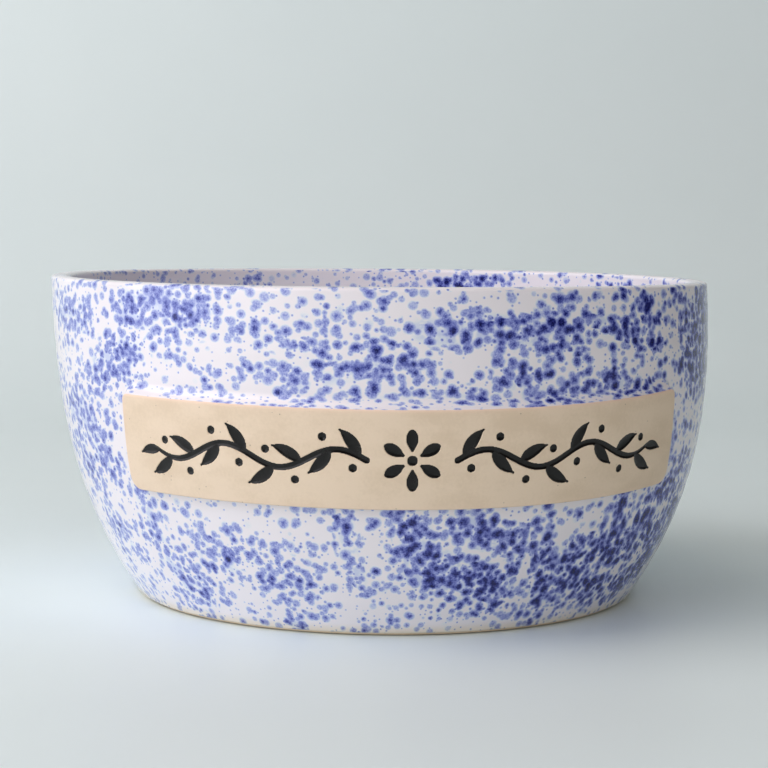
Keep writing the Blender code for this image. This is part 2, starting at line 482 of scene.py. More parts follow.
# %% [markdown]
# ## Laying the coat
#
# Now the rows are bent to the strip, pushed out by the glaze around it and by the fingers' rings,
# and thrown. A second, coarser set of rows runs back under the first one, buried in the clay, and
# makes the coat a closed body of real thickness.

# %% Lay the coat
RING_INSIDE = -0.10 * MM    # the fingers' rings are hollows on the inside
RING_OUTSIDE = 0.05 * MM
BURIED = 0.15 * MM          # how far the coat's back lies in the clay

plain_r, plain_z = coat_profile[:, 0], coat_profile[:, 1]
wall_row = on_wall[:last_row + 1, None]
row_z = np.where(wall_row > 0, follow_strip(plain_z), plain_z[:, None])
row_r = plain_r[:, None] + outer_radius(row_z) - outer_radius(plain_z)[:, None]
strip_v = row_z - PANEL_LOW - panel_lift(COLUMNS * RIM_RADIUS)
rise = wall_row * glaze_rise(COLUMNS * RIM_RADIUS / flare(strip_v), strip_v)
row_r = row_r + rise
ring_height = np.where(on_inside[:last_row + 1, None], RING_INSIDE, RING_OUTSIDE)
row_r = row_r + finger_rings(row_z, ring_height)
coat_rows = thrown(COLUMNS, row_r, row_z)

buried = (clay_skin - normals * BURIED)[:last_row + 1][::-4]
buried_rows = thrown(COLUMNS, buried[:, :1], buried[:, 1:])
glaze_coat = turned("glaze_coat", np.concatenate([coat_rows, buried_rows]))

# %% [markdown]
# ## The clay body
#
# Under the glaze is the fired clay. Only the foot and the underside show it. The underside was
# trimmed on the wheel with a wire loop, which leaves shallow rings, so the body gets close rows
# there, and no point goes below the flat foot that the bowl stands on.

# %% Build the clay body
TRIM_RING = 5.2 * MM      # from one trimmed ring to the next
TRIM_DEPTH = 0.09 * MM
TRIM_EDGE = 5 * MM        # the foot's outermost part is left flat
TRIM_EASE = 4 * MM

under_r = graded((FOOT_RADIUS - FOOT_ROUND, 3 * MM, 1.0 * MM))[1:]
trimmed = TRIM_DEPTH * (0.5 - 0.5 * np.cos(2 * math.pi * under_r / TRIM_RING))
trimmed *= smooth((FOOT_RADIUS - TRIM_EDGE - under_r) / TRIM_EASE)
hidden_rows = np.arange(0, len(profile) - len(foot), 3)
bare_rows = np.arange(len(profile) - len(foot) - 3, len(profile))
clay_profile = np.concatenate([
    clay_skin[hidden_rows[hidden_rows < bare_rows[0]]],
    clay_skin[bare_rows],
    np.stack([under_r, trimmed], -1),
])
clay_body = turned("clay_body", thrown(COLUMNS[::2], clay_profile[:, :1], clay_profile[:, 1:]))

# %% [markdown]
# ## An ornament for the strip
#
# The strip carries a pressed ornament: a flower in the middle and a leafy vine running out to each
# end. A potter presses it with a round-nosed wooden tool, so each mark is a groove with a round
# floor and round ends. Text objects or curves could be cut in with a Boolean, but the crumbly edge
# of pressed clay is easier from a height field. A mark is written as a string of discs, each with
# its own radius, and the distance to the nearest disc says how deep the clay lies.
#
# The stem is a plain wave. A leaf starts at a point of the stem, bends back as it grows, and swells
# and tapers on the way.

# %% A stem and a leaf
STEM_RADIUS = 0.95 * MM
LEAF_LENGTH = 9.6 * MM
LEAF_RADIUS = 1.75 * MM
LEAF_TIP = 0.35 * MM        # radius that a leaf keeps at its ends
LEAF_CURL = 0.55            # how far a leaf bends back, in radians
VINE_START, VINE_END = 13 * MM, 80 * MM
VINE_WAVE = 34 * MM         # length of one wave of the stem
VINE_SWING = 3.0 * MM
MIDLINE = PANEL_HEIGHT / 2


def mark(points, radii):
    """A pressed mark: rows of (s, v, radius)."""
    return np.column_stack([points, np.broadcast_to(radii, len(points))])


def stem_point(s):
    """The vine's stem at a distance s from the middle, as (s, v)."""
    swing = VINE_SWING * np.sin(2 * math.pi * (s - VINE_START) / VINE_WAVE)
    return np.stack([s, MIDLINE + swing], -1)


def leaf(base, heading, length, widest):
    """A leaf that curves as it grows from base, narrow at both ends."""
    t = np.linspace(0.0, 1.0, 50)
    bend = heading - np.sign(heading) * LEAF_CURL * t
    steps = np.stack([np.cos(bend), np.sin(bend)], -1) * length / len(t)
    belly = np.sin(math.pi * t ** 0.8) ** 0.85
    return mark(base + np.cumsum(steps, axis=0), np.maximum(widest * belly, LEAF_TIP))


print(f"the stem swings {VINE_SWING / MM:.1f} mm up and down")

# %% [markdown]
# ## The vines and the flower
#
# At even steps along the stem a leaf turns off to one side and a berry hangs on the other, and the
# sides change at every step. The left vine is the right one mirrored. The flower between them is
# one petal, turned six times.

# %% Draw the marks
LEAF_EVERY = 8.5 * MM
BERRY_RADIUS = 1.2 * MM
BERRY_STALK = 4.4 * MM      # from the stem to a berry's middle
PETAL_START = 3.1 * MM      # from the flower's middle
PETAL_LENGTH = 5.6 * MM
PETAL_TIP = 0.5 * MM
PETAL_SWELL = 1.2 * MM


def half_vine():
    """The marks of the right-hand vine."""
    s = np.arange(VINE_START, VINE_END, 0.2 * MM)
    tapering = 1 - 0.35 * smooth((s - VINE_END + 12 * MM) / (12 * MM))
    marks = [mark(stem_point(s), STEM_RADIUS * tapering)]
    side = 1
    for start in np.arange(VINE_START + 2 * MM, VINE_END - 4 * MM, LEAF_EVERY):
        base = stem_point(start)
        ahead = stem_point(start + 0.5 * MM) - base
        heading = math.atan2(ahead[1], ahead[0]) * 0.5 + side
        marks.append(leaf(base, heading, LEAF_LENGTH, LEAF_RADIUS))
        berry = stem_point(start + 2.0 * MM) - [0.0, side * BERRY_STALK]
        marks.append(mark([berry], BERRY_RADIUS))
        side = -side
    marks.append(leaf(stem_point(VINE_END - MM), 0.1, LEAF_LENGTH * 0.8, LEAF_RADIUS * 0.85))
    return marks


def flower():
    """A berry with six petals round it."""
    middle = np.array([0.0, MIDLINE])
    marks = [mark([middle], BERRY_RADIUS * 1.25)]
    for turn in (np.arange(6) + 0.5) * math.pi / 3:
        way = np.array([math.cos(turn), math.sin(turn)])
        t = np.linspace(0.0, 1.0, 30)
        petal = middle + way * (PETAL_START + PETAL_LENGTH * t[:, None])
        marks.append(mark(petal, PETAL_TIP + PETAL_SWELL * np.sin(math.pi * t ** 1.3)))
    return marks


right_vine = half_vine()
left_vine = [m * [-1.0, 1.0, 1.0] for m in right_vine]
MARKS = flower() + right_vine + left_vine
print(f"{len(MARKS)} pressed marks")

# %% [markdown]
# ## The strip's face as a grid
#
# The strip's face is a fine grid, a quarter of a millimetre apart where the ornament lies and finer
# still at the edges, which are rounded later. Its outermost rows follow the rounded corners, and
# the rows between them are spread evenly.

# %% Lay out the face's grid
FACE_STEP = 0.25 * MM
ORNAMENT_MARGIN = 4.8 * MM

face_s = graded(
    (-PANEL_HALF, -PANEL_HALF + 0.6 * MM, 0.1 * MM),
    (-PANEL_HALF + 0.6 * MM, PANEL_HALF - 0.6 * MM, FACE_STEP),
    (PANEL_HALF - 0.6 * MM, PANEL_HALF, 0.1 * MM),
)
face_v = graded(
    (0.0, 0.5 * MM, 0.1 * MM),
    (0.5 * MM, ORNAMENT_MARGIN, 0.6 * MM),
    (ORNAMENT_MARGIN, PANEL_HEIGHT - ORNAMENT_MARGIN, FACE_STEP),
    (PANEL_HEIGHT - ORNAMENT_MARGIN, PANEL_HEIGHT - 0.9 * MM, 0.55 * MM),
    (PANEL_HEIGHT - 0.9 * MM, PANEL_HEIGHT, 0.1 * MM),
)


def corner_cut(from_end, radius):
    """How far a rounded corner pulls the edge in, at this distance from the strip's end."""
    short = np.clip(radius - from_end, 0.0, None)
    return radius - np.sqrt(radius ** 2 - short ** 2)


low_edge = corner_cut(PANEL_HALF - np.abs(face_s), LOW_CORNER)
high_edge = PANEL_HEIGHT - corner_cut(PANEL_HALF - np.abs(face_s), TOP_CORNER)
grid_s = np.broadcast_to(face_s, (len(face_v), len(face_s)))
grid_v = low_edge + (high_edge - low_edge) * face_v[:, None] / PANEL_HEIGHT
print(f"the face's grid has {grid_s.shape[0]} rows of {grid_s.shape[1]} points")

# %% [markdown]
# ## Pressing the marks
#
# Every point of the grid asks how far away the nearest mark is, and how wide it is there. Each mark
# is measured only at the points near it, which keeps the work short. A tool that presses clay down
# also pushes up a faint rim on both sides.

# %% Press the marks into the face
PRESS_DEPTH = 1.15 * MM
DEEP_MARK = 1.1 * MM      # a mark of this radius is pressed to the full depth
PRESS_RIM = 0.07 * MM     # height of the rim that the tool pushes up
RIM_WIDTH = 0.7 * MM
NEAR = 1.5 * MM           # clay further than this from a mark isn't measured
FAR = 5 * MM


def press(marks):
    """Distance from each grid point to the nearest mark's edge, and that mark's radius there."""
    gap = np.full(grid_s.shape, FAR)
    half = np.full(grid_s.shape, STEM_RADIUS)
    for whole in marks:
        for part in np.array_split(whole, max(1, len(whole) // 50)):
            reach = part[:, 2].max() + NEAR
            i = np.flatnonzero((face_s > part[:, 0].min() - reach) & (face_s < part[:, 0].max() + reach))
            j = np.flatnonzero((face_v > part[:, 1].min() - reach) & (face_v < part[:, 1].max() + reach))
            here = np.ix_(j, i)
            away = np.hypot(grid_s[here][..., None] - part[:, 0], grid_v[here][..., None] - part[:, 1])
            away -= part[:, 2]
            nearest = away.argmin(-1)
            away = away.min(-1)
            closer = away < gap[here]
            half[here] = np.where(closer, part[nearest, 2], half[here])
            gap[here] = np.where(closer, away, gap[here])
    return gap, half


groove_gap, groove_half = press(MARKS)
into = np.clip(-groove_gap / groove_half, 0.0, 1.0)
round_floor = np.sqrt(1 - (1 - into) ** 2)
pressed = -PRESS_DEPTH * round_floor * np.clip(groove_half / DEEP_MARK, 0.45, 1.2)
pressed += PRESS_RIM * np.where(groove_gap > 0, smooth(1 - groove_gap / RIM_WIDTH), 0.0)
print(f"the deepest groove is {-pressed.min() / MM:.2f} mm deep")

# %% [markdown]
# ## The strip's body
#
# The cut edges of rolled clay are soft: the upper one was stroked with a wet finger, the lower one
# is crisper. The face itself is not quite flat either. Behind the face, the sides drop into the
# wall, and long faces close the back, which nobody sees.

# %% Build the strip
EDGE_WIDTH, EDGE_DROP = 0.5, 0.30      # the softened lower edge, in mm
TOP_WIDER, TOP_DEEPER = 0.4, 0.25      # and how much more the upper one is softened
UNEVEN = 0.10 * MM
BACK_DEPTH = 0.6 * MM     # how far the strip's back lies in the wall
UNDERCUT = 0.6 * MM       # how much higher the lower edge lies there than at the face
END_COLUMNS = 8           # columns gathered into one face at each end of the back


def panel_point(s, v, out):
    """World point on the strip: length s, height v, and distance out from the wall."""
    z = PANEL_LOW + panel_lift(s) + v
    return thrown(s / RIM_RADIUS * flare(v), outer_radius(z) + out, z)


def rolled_edge(s, v):
    """How far the softened edges drop below the face."""
    on_top = smooth((v / PANEL_HEIGHT - 0.3) / 0.4)
    width = (EDGE_WIDTH + TOP_WIDER * on_top) * MM
    drop = (EDGE_DROP + TOP_DEEPER * on_top) * MM
    inside_by = np.clip(-edge_distance(s, v)[0] / width, 0.0, 1.0)
    return drop * (1 - np.sqrt(1 - (1 - inside_by) ** 2))


def close_strip(face):
    """Points and faces of a closed strip whose face is this grid of points."""
    high, wide = face.shape[:2]
    quads = grid_cells(high, wide).reshape(-1, 4)
    index = np.arange(high * wide).reshape(high, wide)
    ring = np.concatenate([index[0], index[1:, -1], index[-1, -2::-1], index[-2:0:-1, 0]])
    s, v = grid_s.ravel()[ring], grid_v.ravel()[ring]
    tucked_up = UNDERCUT * (1 - smooth(v / LOW_CORNER))
    back = panel_point(s, v + tucked_up, np.full(len(s), -BACK_DEPTH))
    behind = high * wide + np.arange(len(ring))
    sides = np.stack([ring, behind, np.roll(behind, -1), np.roll(ring, -1)], -1)
    low = behind[:wide]
    right = behind[wide:wide + high - 2]
    up = behind[wide + high - 2:2 * wide + high - 2][::-1]
    left = behind[2 * wide + high - 2:]
    a, b = END_COLUMNS, wide - END_COLUMNS - 1
    middle = np.stack([low[a + 1:b + 1], low[a:b], up[a:b], up[a + 1:b + 1]], -1)
    left_end = np.concatenate([low[a::-1], left[::-1], up[:a + 1]])[None]
    right_end = np.concatenate([low[b:b + 1], up[b:], right[::-1], low[:b:-1]])[None]
    return np.concatenate([face.reshape(-1, 3), back]), [quads, sides, middle, left_end, right_end]


uneven = UNEVEN * np.sin(grid_s / (19 * MM) + 0.5) * np.sin(grid_v / (9 * MM) + 0.9)
face_out = PANEL_THICKNESS - rolled_edge(grid_s, grid_v) + uneven
clay_strip = write_mesh("clay_strip", *close_strip(panel_point(grid_s, grid_v, face_out + pressed)))

# %% [markdown]
# ## Black glaze in the marks
#
# The marks were filled with black glaze from a fine bottle. In the fire it sinks a little and draws
# up the groove's sides, so its surface is hollow. It is built over the same grid points, and runs
# on under the clay at its edges: what we see ends in a clean line where the two surfaces cross.

# %% Fill the grooves
INLAY_EDGE = 0.05 * MM     # how far below the face the glaze meets the groove's side
INLAY_SINK = 0.38 * MM     # how much deeper it lies in the middle
INLAY_TUCK = 0.35 * MM     # how far it runs on under the clay
INLAY_DIVE = 0.6           # how steeply it falls away there
INLAY_DEPTH = 0.35 * MM    # how far its underside lies below the groove's floor


def chosen_cells(inside_mark):
    """Grid cells that touch a mark, without cells that meet only at a corner."""
    cells = inside_mark[:-1, :-1] | inside_mark[1:, :-1] | inside_mark[:-1, 1:] | inside_mark[1:, 1:]
    for _ in range(6):
        a, b, c, d = cells[:-1, :-1], cells[:-1, 1:], cells[1:, :-1], cells[1:, 1:]
        pinched = (a & d & ~b & ~c) | (b & c & ~a & ~d)
        for part in (a, b, c, d):
            part |= pinched
    return cells


def inlay_body(cells, top, bottom):
    """Points and faces of a closed slab over the chosen grid cells."""
    points = np.concatenate([top.reshape(-1, 3), bottom.reshape(-1, 3)])
    below = len(points) // 2
    corners = grid_cells(*top.shape[:2])[cells]
    under = corners[:, ::-1] + below
    edges = np.concatenate([corners[:, [k, (k + 1) % 4]] for k in range(4)])
    there = edges[:, 0] * below + edges[:, 1]
    back = edges[:, 1] * below + edges[:, 0]
    rim = edges[~np.isin(there, back)]
    sides = np.stack([rim[:, 0], rim[:, 0] + below, rim[:, 1] + below, rim[:, 1]], -1)
    used, packed = np.unique(np.concatenate([corners, under, sides]), return_inverse=True)
    return points[used], [packed.reshape(-1, 4)]


hollow = 1 - (1 - into) ** 2
surface = -INLAY_EDGE - INLAY_SINK * hollow * np.clip(groove_half / STEM_RADIUS, 0.4, 1.0)
surface = surface - np.maximum(groove_gap, 0.0) * INLAY_DIVE
underside = np.minimum(pressed, surface) - INLAY_DEPTH
cells = chosen_cells(groove_gap < INLAY_TUCK)
black_inlay = write_mesh("black_inlay", *inlay_body(
    cells,
    panel_point(grid_s, grid_v, face_out + surface),
    panel_point(grid_s, grid_v, face_out + underside),
))

# %% [markdown]
# ## Where the blue was flicked
#
# The blue is cobalt stain, flicked off a stiff brush while the bowl turned slowly on the wheel. It
# lands in streaks that run along the wall, dense in their middles and thin at their ends, with
# nearly white places between them. A streak is written as a line between two places on the wall, a
# width and a strength, and its blue fades with the distance from that line. On the front the streaks
# are given one by one, so that they frame the strip as they should.

# %% Streaks on the front
FRONT_FLICKS = (   # from angle and height to angle and height, half width in mm, strength
    # above the strip, from the left to the right
    (-72, 95, -60, 94, 6, 0.9), (-57, 79, -48, 85, 6, 1.0), (-49, 98, -33, 98, 6, 1.05),
    (-27, 94, -14, 86, 6, 0.4), (-18, 79, -2, 86, 5, 0.75), (-8, 75, 44, 75, 2.5, 0.5),
    (2, 94, 8, 92, 5, 0.8), (9, 95, 27, 91, 5, 0.95), (15, 84, 19, 76, 5.5, 0.85),
    (29, 96, 40, 92, 4.5, 0.75), (30, 80, 42, 76, 5, 0.6), (41, 102, 46, 87, 4.5, 0.75),
    (54, 82, 62, 92, 5, 0.7), (57, 95, 72, 90, 7, 1.2), (60, 80, 70, 78, 6, 1.1),
    # beside its ends
    (-71, 62, -67, 42, 6, 0.8), (-68, 66, -62, 60, 6, 0.9), (-61, 56, -58, 48, 6, 0.9),
    (60, 48, 52, 38, 6, 0.9),
    # below it, from the left to the right
    (-66, 30, -60, 22, 6, 0.65), (-51, 42, -49, 20, 5, 0.7), (-48, 16, -43, 10, 6, 0.75),
    (-38, 25, -20, 17, 5.5, 0.75), (-23, 3, -20, 2, 3, 0.7), (-11, 38, -9, 19, 4, 0.75),
    (0, 39, 2, 26, 5.5, 1.2), (2, 24, 17, 16, 7, 1.3), (9, 35, 20, 30, 5.5, 1.1),
    (24, 31, 27, 13, 5.5, 1.1), (28, 14, 44, 12, 5, 0.8), (31, 24, 48, 25, 6.5, 1.1),
    (41, 38, 42, 30, 5.5, 0.9), (48, 33, 62, 22, 6, 0.85), (50, 12, 62, 16, 6, 1.0),
    (70, 32, 60, 32, 6, 0.8),
)


def flicked(angle, z, flicks):
    """How much blue reaches each point, from 0 to 1."""
    total = np.zeros(np.broadcast_shapes(angle.shape, z.shape))
    for a0, z0, a1, z1, width, strength in flicks:
        turn = (angle - math.radians(a0) + math.pi) % (2 * math.pi) - math.pi
        x, y = turn * RIM_RADIUS / MM, z / MM - z0
        dx, dy = math.radians(a1 - a0) * RIM_RADIUS / MM, z1 - z0
        along = np.clip((x * dx + y * dy) / (dx * dx + dy * dy), 0.0, 1.0)
        away = np.hypot(x - along * dx, y - along * dy) / width
        total = np.maximum(total, strength * np.exp(-away ** 2))
    return total


front_flick = flicked(COLUMNS, row_z, FRONT_FLICKS)
print(f"{len(FRONT_FLICKS)} streaks on the front")

# %% [markdown]
# ## Streaks all round and inside
#
# Round the back and on the inside, streaks of the same kind fall by chance, with fixed seeds so that
# every run gives the same bowl. In the middle of the inside floor they all run together into an even
# sprinkle, and the melting glaze runs off the lip and takes some blue along. The dots themselves
# come later, in the material. Here each point of the coat only learns how much blue was flicked its
# way, as a number named flick.

# %% Give each point of the coat its share of blue
BACK_FLICKS = 34
INSIDE_FLICKS = 70
EVEN_FLICK = 0.3           # the even sprinkle in the middle of the inside floor
EVEN_RADIUS = 40 * MM      # here it has half given way to streaks
LIP_RUN_OFF = 0.25         # how much blue runs off the lip
LIP_CREST = 1.2 * MM       # the part of the lip that it runs off, from the top down


def random_flicks(count, first, last, seed):
    """Streaks like those on the front, between two angles."""
    chance = np.random.default_rng(seed)
    flicks = []
    for _ in range(count):
        a, z = chance.uniform(first, last), chance.uniform(2, 104)
        flicks.append((a, z, a + chance.uniform(-14, 14), z + chance.uniform(-8, 8),
                       chance.uniform(3.5, 6), chance.uniform(0.5, 1.0)))
    return flicks


def point_values(piece, name, values=(), elsewhere=0.0):
    """Store a number at each point for the material to read: first these, then the same for the rest."""
    stored = np.full(len(piece.data.vertices), elsewhere, np.float32)
    stored[:np.size(values)] = np.ravel(values)
    piece.data.attributes.new(name, "FLOAT", "POINT").data.foreach_set("value", stored)


back_flick = flicked(COLUMNS, row_z, random_flicks(BACK_FLICKS, 72, 285, 5))
outer_flick = np.maximum(front_flick, back_flick)
inner_flick = flicked(COLUMNS, row_z, random_flicks(INSIDE_FLICKS, 0, 360, 11))
evened_out = smooth(1.5 - plain_r / EVEN_RADIUS)
inner_flick += (EVEN_FLICK - inner_flick) * evened_out[:, None]
flick = np.where(on_inside[:last_row + 1, None], inner_flick, outer_flick)
flick -= LIP_RUN_OFF * smooth((row_z - HEIGHT + LIP_CREST) / MM)
point_values(glaze_coat, "flick", flick, EVEN_FLICK)
print(f"much blue was flicked at {np.mean(flick > 0.5):.0%} of the coat's points")

# %% [markdown]
# ## Building materials from nodes
#
# All the finishes are made of nodes that work in the piece's own space, in metres, so a dot of 1 mm
# is 1 mm on every side of the bowl and nothing has to be unwrapped. A few small helpers keep the
# node code readable. The first one adds a node and joins its inputs. The others are made with it and
# do sums, so that a formula can be read as one.

# %% Add a node, and reckon with nodes
def add(tree, kind, inputs=None, **settings):
    """Add a node; its inputs take plain values or other nodes' outputs."""
    node = tree.nodes.new(kind)
    for name, value in settings.items():
        setattr(node, name, value)
    for socket, value in (inputs or {}).items():
        if isinstance(value, bpy.types.NodeSocket):
            tree.links.new(value, node.inputs[socket])
        else:
            node.inputs[socket].default_value = value
    return node


def maths(tree, operation, a, b=0.0):
    """One step of arithmetic."""
    return add(tree, "ShaderNodeMath", {0: a, 1: b}, operation=operation).outputs[0]


def times(tree, a, b):
    """a multiplied by b."""
    return maths(tree, "MULTIPLY", a, b)


def plus(tree, a, b):
    """a and b added up."""
    return maths(tree, "ADD", a, b)


def minus(tree, a, b):
    """a less b."""
    return maths(tree, "SUBTRACT", a, b)


print("nodes can now:", ", ".join(step.__name__ for step in (add, maths, times, plus, minus)))

# %% [markdown]
# ## Steps that every finish takes
#
# A finish starts from a new material with its shader. Then it asks where the shaded point is, lays
# noise of some size there, eases it into a share, blends two colours by it, and dents the surface a
# little. Each of these steps gets a helper of its own.

# %% Helpers for finishes
def blend(tree, share, first, second):
    """A colour between two colours."""
    return add(tree, "ShaderNodeMix", {0: share, 6: first, 7: second}, data_type="RGBA").outputs[2]


def eased(tree, value, start, end, low=0.0, high=1.0):
    """Ease from low to high as value goes from start to end."""
    ramp = add(tree, "ShaderNodeMapRange", {0: value, 1: start, 2: end, 3: low, 4: high},
               interpolation_type="SMOOTHSTEP")
    return ramp.outputs[0]


def finish(name, roughness):
    """A new material, its node tree and its shader."""
    material = bpy.data.materials.new(name)
    material.use_nodes = True
    shader = material.node_tree.nodes["Principled BSDF"]
    shader.inputs["Roughness"].default_value = roughness
    return material, material.node_tree, shader


def own_space(tree):
    """The point being shaded, in the piece's own space, in metres."""
    return add(tree, "ShaderNodeTexCoord").outputs["Object"]


def grain(tree, place, size, detail=3.0, stretch=(1, 1, 1)):
    """Noise whose lumps are about this big, from 0 to 1."""
    scaled = add(tree, "ShaderNodeVectorMath", {0: place, 1: stretch}, operation="MULTIPLY").outputs[0]
    noise = add(tree, "ShaderNodeTexNoise", {"Vector": scaled, "Scale": 1 / size, "Detail": detail})
    return noise.outputs[0]


def dented(tree, shader, height, depth, strength):
    """Give the shader a fine relief of this depth."""
    relief = add(tree, "ShaderNodeBump", {"Strength": strength, "Distance": depth, "Height": height})
    tree.links.new(relief.outputs[0], shader.inputs["Normal"])


print("steps for finishes:", ", ".join(s.__name__ for s in (finish, own_space, grain, eased, blend, dented)))

# %% [markdown]
# ## The plane that the dots are scattered on
#
# A drop of stain melts into the glaze as a round spot: a dark core where it landed and a pale halo
# where it spread. Dots must stay round on a curved wall, so they are scattered on a plane that is
# laid round the bowl like paper. One direction on it is the angle round the bowl, the other is the
# climb along the profile, which each point of the coat is told here. Where the glaze climbs the
# strip the way is longer, so the rise counts too, more than once since the blue flowed there, and
# the dots on the ledge look flattened. On the bowl's floor the paper would crumple, so there the
# plane is the floor itself, seen from above.

# %% Tell each point how far it has climbed
FLOW = 1.4     # how much the blue was drawn out on the ledge

from_below = smooth(strip_v / PANEL_HEIGHT) * 2 - 1
climb = arc[:last_row + 1, None] + coat_profile[0, 0] + FLOW * rise * from_below
point_values(glaze_coat, "climb", climb)
print(f"from the floor's middle to the foot the glaze is {climb.max() / MM:.0f} mm long")

# %% [markdown]
# ## A box for nodes
#
# The nodes of a dot are needed twelve times, twice in each of six layers. Blender can put nodes into
# a group, a box with its own inputs and outputs, which is then used like a single node.

# %% Make an empty node group
GIVES = ("Halo", "Core")


def new_group(name, vectors, floats):
    """An empty node group with these inputs, and the halo and the core of dots as its outputs."""
    tree = bpy.data.node_groups.new(name, "ShaderNodeTree")
    for socket in vectors:
        tree.interface.new_socket(socket, in_out="INPUT", socket_type="NodeSocketVector")
    for socket in floats:
        tree.interface.new_socket(socket, in_out="INPUT", socket_type="NodeSocketFloat")
    for socket in GIVES:
        tree.interface.new_socket(socket, in_out="OUTPUT", socket_type="NodeSocketFloat")
    return tree, tree.nodes.new("NodeGroupInput").outputs, tree.nodes.new("NodeGroupOutput").inputs


print("each group will give:", ", ".join(GIVES))

# %% [markdown]
# ## One dot
#
# Voronoi texture scatters centres over the plane and tells, at every place, how far one of them is,
# where it lies, and a random colour that belongs to it. The random numbers choose the dot's width
# and its load of stain, and whether it is there at all. A drop with more stain is wider and has a
# larger, darker core. The load also grows towards the bowl's right side, which makes the cores there
# larger and darker: that is painted shade, for the side of the bowl that is turned away from the
# light. Noise is read at the dot's centre and not at the point being shaded, so a dot is there whole
# or not at all. Near the edges of the plane a dot is made so small that it fits, so none is ever cut
# in two.

# %% Make the node group for one dot
PAPER_RADIUS = 103 * MM            # the wall's radius, halfway up
DRIFT_SIZE = 12 * MM               # size of the patches that noise adds to the flicked streaks
DRIFT_STRETCH = (1, 1, 2.0)        # flatter than they are long
FLICK_SHARE = 0.75                 # how much the streaks count in the amount of blue
DRIFT_SHARE = 0.50                 # and how much the patches do
LOAD_BY_CHANCE = 0.55              # what fills a drop with stain: luck,
LOAD_BY_AMOUNT = 0.20              # a dense streak,
# the side term is painted shade: it makes cores fuller and darker towards the bowl's shaded right side
SHADE_LOAD_BY_SIDE = 0.34                # and the side of the bowl
DOT_WIDTH = (0.58, 0.20, 0.35)     # share of the radius that all dots have, that luck adds and load adds
CORE_SHARE = 0.40                  # the smallest core's radius, as a share of the halo's
CORE_GROWTH = 0.41                 # how much larger that share is in the fullest drop


def one_dot():
    """A node group: how much blue glass one dot puts in the way of the light."""
    tree, given, out = new_group("one_dot", ("Centre", "Colour"), (
        "Distance", "Floor", "Seam", "Edge", "Radius", "Halo", "Core", "Flick", "Share", "Offset"))
    across, up, _ = add(tree, "ShaderNodeSeparateXYZ", {0: given["Centre"]}).outputs
    angle = maths(tree, "DIVIDE", across, PAPER_RADIUS)
    wall_x = times(tree, maths(tree, "SINE", angle), PAPER_RADIUS)
    wall_y = times(tree, maths(tree, "COSINE", angle), -PAPER_RADIUS)
    on_wall = add(tree, "ShaderNodeCombineXYZ", {0: wall_x, 1: wall_y, 2: up}).outputs[0]
    there = add(tree, "ShaderNodeMix", {0: given["Floor"], 4: on_wall, 5: given["Centre"]},
                data_type="VECTOR").outputs[1]
    there = add(tree, "ShaderNodeVectorRotate", {"Vector": there, "Angle": given["Seam"]},
                rotation_type="Z_AXIS", invert=True).outputs[0]
    drift = eased(tree, grain(tree, there, DRIFT_SIZE, 2.0, DRIFT_STRETCH), 0.35, 0.65)

    from_middle = add(tree, "ShaderNodeVectorMath", {0: given["Centre"]}, operation="LENGTH")
    wall_room = maths(tree, "MINIMUM", minus(tree, up, given["Edge"]),
                      minus(tree, math.pi * PAPER_RADIUS, maths(tree, "ABSOLUTE", across)))
    floor_room = minus(tree, given["Edge"], from_middle.outputs["Value"])
    room = add(tree, "ShaderNodeMix", {0: given["Floor"], 2: wall_room, 3: floor_room}).outputs[0]

    chance = add(tree, "ShaderNodeSeparateXYZ", {0: given["Colour"]}).outputs
    amount = plus(tree, times(tree, given["Flick"], FLICK_SHARE), times(tree, drift, DRIFT_SHARE))
    wanted = plus(tree, times(tree, amount, given["Share"]), given["Offset"])
    present = eased(tree, minus(tree, wanted, chance[0]), -0.03, 0.03)
    # painted shade: the dot's place from left to right raises the load, so cores grow darker towards the
    # shaded right
    side = add(tree, "ShaderNodeSeparateXYZ", {0: there}).outputs[0]
    side = plus(tree, maths(tree, "DIVIDE", side, 2 * PAPER_RADIUS), 0.5)
    stain_load_and_shade = plus(tree, times(tree, chance[2], LOAD_BY_CHANCE), times(tree, amount, LOAD_BY_AMOUNT))
    stain_load_and_shade = eased(tree, plus(tree, stain_load_and_shade, times(tree, side, SHADE_LOAD_BY_SIDE)), 0.36, 1.08)

    least, by_chance, by_load = DOT_WIDTH
    width = plus(tree, times(tree, chance[1], by_chance), times(tree, stain_load_and_shade, by_load))
    width = times(tree, given["Radius"], plus(tree, width, least))
    width = maths(tree, "MAXIMUM", maths(tree, "MINIMUM", width, room), 0.01 * MM)
    out_share = maths(tree, "DIVIDE", given["Distance"], width)
    halo = times(tree, given["Halo"], eased(tree, out_share, 0.40, 1.0, 1.0, 0.0))
    core_edge = plus(tree, times(tree, stain_load_and_shade, CORE_GROWTH), CORE_SHARE)
    core = maths(tree, "DIVIDE", out_share, core_edge)
    core = times(tree, stain_load_and_shade, eased(tree, core, 0.0, 1.0, 1.0, 0.0))
    core = times(tree, given["Core"], core)
    strength = times(tree, present, plus(tree, times(tree, amount, 0.35), 0.80))
    tree.links.new(times(tree, halo, strength), out["Halo"])
    tree.links.new(times(tree, core, strength), out["Core"])
    return tree


ONE_DOT = one_dot()
print("one dot takes", len(ONE_DOT.nodes), "nodes")

# %% [markdown]
# ## One layer of dots
#
# A layer looks up the nearest centre and the second nearest and adds up both dots, so dots may
# overlap as real drops do. Each layer turns the paper a little, which opens its seam at
# another place at the bowl's back, and starts the floor at another height. It also shifts the
# pattern, so no two layers have their dots in the same places.

# %% Make the node group for a layer of dots
FLOOR_EDGE = 88 * MM   # climb where the floor's plane gives way to the wall's paper
DOT_DISORDER = 0.80    # how far centres stray from even spacing


